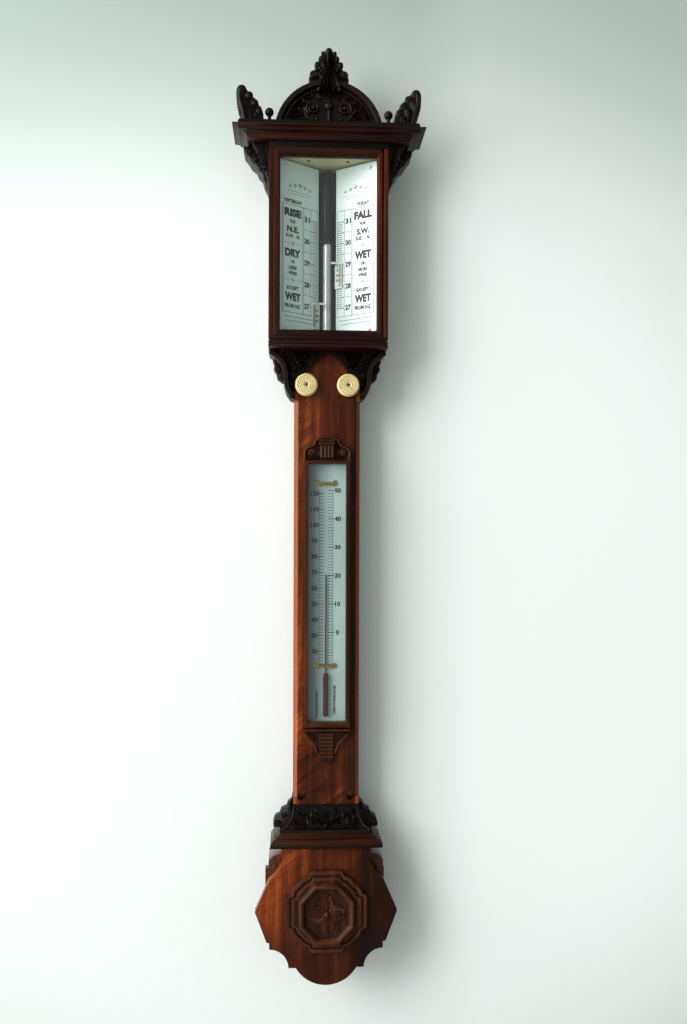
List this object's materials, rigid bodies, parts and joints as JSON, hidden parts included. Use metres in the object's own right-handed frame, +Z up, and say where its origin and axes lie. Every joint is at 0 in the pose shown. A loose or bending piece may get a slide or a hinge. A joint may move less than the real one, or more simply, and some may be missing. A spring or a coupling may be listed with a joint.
{
  "type": "stick barometer",
  "caption": "Wall stick barometer in a carved wooden case with glazed head, canted register plates, rack-driven verniers, thermometer and boxwood cistern.",
  "frame": {"origin": "centre of the hanger plate's hole, on the back face that lies against the wall", "axes": "+Z up along the case, +Y towards the wall, +X to the right as the barometer is read"},
  "size_m": [0.218, 0.087, 1.077],
  "materials": {
    "case_wood": "polished red-brown wood with straight grain",
    "carved_wood": "dark carved wood, waxed",
    "inner_wood": "plain unpolished wood",
    "cream_paint": "cream painted board",
    "opal": "opal glass plate, satin, with fired black marks",
    "ivory": "turned ivory-coloured bone",
    "vernier_bone": "pale bone plate with engraved marks",
    "brass": "lacquered brass",
    "clear_glass": "clear flat glass",
    "tube_glass": "drawn glass tube",
    "mercury": "bright liquid mercury",
    "red_spirit": "dark red thermometer liquid",
    "boxwood": "turned boxwood",
    "cork": "cork",
    "leather": "thin glove leather"
  },
  "bodies": {
    "case": {"backboard": "case_wood", "hanger_plate": "brass", "hanger_screws": "brass", "trunk": "case_wood", "trunk_screws": "brass", "head_sides": "case_wood", "head_ceiling": "cream_paint", "head_floor": "case_wood", "cornice": "case_wood", "blocking": "carved_wood", "pediment": "carved_wood", "volutes": "carved_wood", "finial": "carved_wood", "left_ear": "carved_wood", "right_ear": "carved_wood", "cornice_balls": "carved_wood", "left_upper_bracket": "carved_wood", "right_upper_bracket": "carved_wood", "left_lower_bracket": "carved_wood", "right_lower_bracket": "carved_wood", "door_pins": "brass", "left_plate": "opal", "right_plate": "opal", "plate_blocks": "inner_wood", "plate_screws": "brass", "barometer_tube": "tube_glass", "mercury": "mercury", "tube_saddles": "cork", "rack_guides": "brass", "spindle_bushes": "brass", "thermometer_frame": "case_wood", "thermometer_glass": "clear_glass", "thermometer_plate": "opal", "thermometer_tube": "tube_glass", "thermometer_spirit": "red_spirit", "thermometer_clips": "brass", "thermometer_crest": "carved_wood", "thermometer_corbel": "carved_wood", "skirt": "carved_wood", "base_mould": "case_wood", "base_front": "case_wood", "base_box": "case_wood", "boss": "carved_wood", "rosette": "carved_wood", "cistern": "boxwood", "leather_bag": "leather"},
    "door": {"door_frame": "case_wood", "door_glass": "clear_glass", "glazing_bead": "case_wood"},
    "left_setting": {"left_knob": "ivory", "left_pinion": "brass"},
    "right_setting": {"right_knob": "ivory", "right_pinion": "brass"},
    "left_slider": {"left_rack": "brass", "left_vernier": "vernier_bone"},
    "right_slider": {"right_rack": "brass", "right_vernier": "vernier_bone"},
    "pad": {"portable_pad": "boxwood"},
    "screw": {"portable_screw": "brass"}
  },
  "joints": [
    {"name": "left_knob_turn", "type": "hinge", "parent": "case", "child": "left_setting", "pos_m": [-0.0245, -0.04, -0.2492], "axis": [0, -1, 0], "range_deg": [-54.5, 873.1]},
    {"name": "left_vernier_slide", "type": "slide", "parent": "case", "child": "left_slider", "axis": [0, 0, 1], "range_m": [-0.00608, 0.09752]},
    {"name": "right_knob_turn", "type": "hinge", "parent": "case", "child": "right_setting", "pos_m": [0.0245, -0.04, -0.2492], "axis": [0, 1, 0], "range_deg": [-486.5, 441]},
    {"name": "right_vernier_slide", "type": "slide", "parent": "case", "child": "right_slider", "axis": [0, 0, 1], "range_m": [-0.05434, 0.04926]},
    {"name": "door_hinge", "type": "hinge", "parent": "case", "child": "door", "pos_m": [0.059, -0.064, -0.09], "axis": [0, 0, 1], "range_deg": [0, 90]},
    {"name": "portable_pad_rise", "type": "slide", "parent": "case", "child": "pad", "axis": [0, 0, 1], "range_m": [0, 0.005], "deforming": ["leather_bag"]},
    {"name": "portable_screw_turn", "type": "hinge", "parent": "pad", "child": "screw", "pos_m": [0, -0.024, -0.9], "axis": [0, 0, 1], "range_deg": [0, 1800.1]}
  ],
  "couplings": [
    {"joint": "left_knob_turn", "follows": "left_vernier_slide", "rad_per_m": 156.25},
    {"joint": "right_knob_turn", "follows": "right_vernier_slide", "rad_per_m": 156.25},
    {"joint": "portable_screw_turn", "follows": "portable_pad_rise", "rad_per_m": 6283.2}
  ]
}
